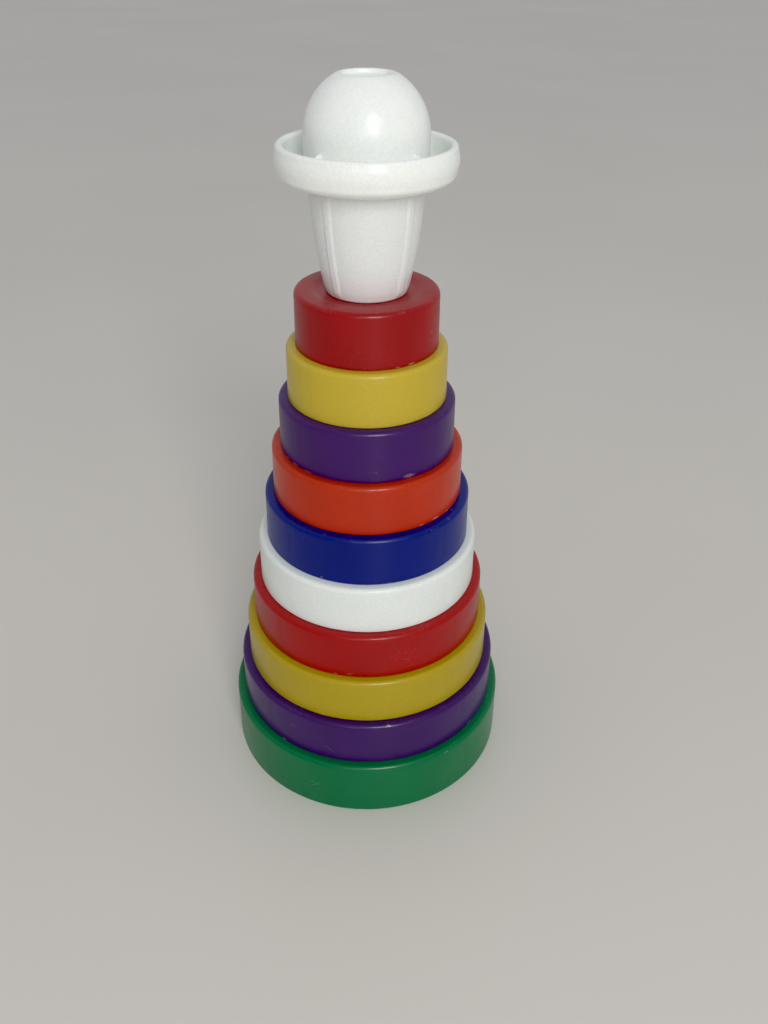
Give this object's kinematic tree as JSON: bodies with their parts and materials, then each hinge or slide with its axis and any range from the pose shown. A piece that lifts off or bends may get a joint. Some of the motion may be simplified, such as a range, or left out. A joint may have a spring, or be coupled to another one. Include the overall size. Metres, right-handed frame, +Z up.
{
  "type": "stacking ring toy",
  "caption": "Tapering tower of loose coloured plastic rings on a post in a round base, topped by a white cup-shaped head with a round hat.",
  "frame": {"origin": "middle of the base's foot, on the surface the toy stands on", "axes": "+Z up along the post; +X to the right and -Y towards a viewer in front"},
  "size_m": [0.0942, 0.0942, 0.2189],
  "materials": {
    "green_plastic": "satin",
    "purple_plastic": "satin",
    "yellow_plastic": "satin",
    "red_plastic": "satin",
    "white_plastic": "satin",
    "blue_plastic": "satin",
    "orange_plastic": "satin",
    "cap_plastic": "satin",
    "post_plastic": "satin"
  },
  "bodies": {
    "base": {"base": "green_plastic", "post": "post_plastic"},
    "ring_1": {"ring_1_purple": "purple_plastic"},
    "ring_2": {"ring_2_yellow": "yellow_plastic"},
    "ring_3": {"ring_3_red": "red_plastic"},
    "ring_4": {"ring_4_white": "white_plastic"},
    "ring_5": {"ring_5_blue": "blue_plastic"},
    "ring_6": {"ring_6_orange": "orange_plastic"},
    "ring_7": {"ring_7_purple": "purple_plastic"},
    "ring_8": {"ring_8_yellow": "yellow_plastic"},
    "ring_9": {"ring_9_red": "red_plastic"},
    "cap": {"head_cup": "cap_plastic", "hat": "cap_plastic"}
  },
  "joints": [
    {"name": "ring_1_lift", "type": "slide", "parent": "base", "child": "ring_1", "axis": [0, 0, 1], "range_m": [0, 0.17]},
    {"name": "ring_2_lift", "type": "slide", "parent": "ring_1", "child": "ring_2", "axis": [0, 0, 1], "range_m": [0, 0.154]},
    {"name": "ring_3_lift", "type": "slide", "parent": "ring_2", "child": "ring_3", "axis": [0, 0, 1], "range_m": [0, 0.138]},
    {"name": "ring_4_lift", "type": "slide", "parent": "ring_3", "child": "ring_4", "axis": [0, 0, 1], "range_m": [0, 0.122]},
    {"name": "ring_5_lift", "type": "slide", "parent": "ring_4", "child": "ring_5", "axis": [0, 0, 1], "range_m": [0, 0.106]},
    {"name": "ring_6_lift", "type": "slide", "parent": "ring_5", "child": "ring_6", "axis": [0, 0, 1], "range_m": [0, 0.09]},
    {"name": "ring_7_lift", "type": "slide", "parent": "ring_6", "child": "ring_7", "axis": [0, 0, 1], "range_m": [0, 0.074]},
    {"name": "ring_8_lift", "type": "slide", "parent": "ring_7", "child": "ring_8", "axis": [0, 0, 1], "range_m": [0, 0.058]},
    {"name": "ring_9_lift", "type": "slide", "parent": "ring_8", "child": "ring_9", "axis": [0, 0, 1], "range_m": [0, 0.042]},
    {"name": "cap_lift", "type": "slide", "parent": "ring_9", "child": "cap", "axis": [0, 0, 1], "range_m": [0, 0.027]}
  ]
}
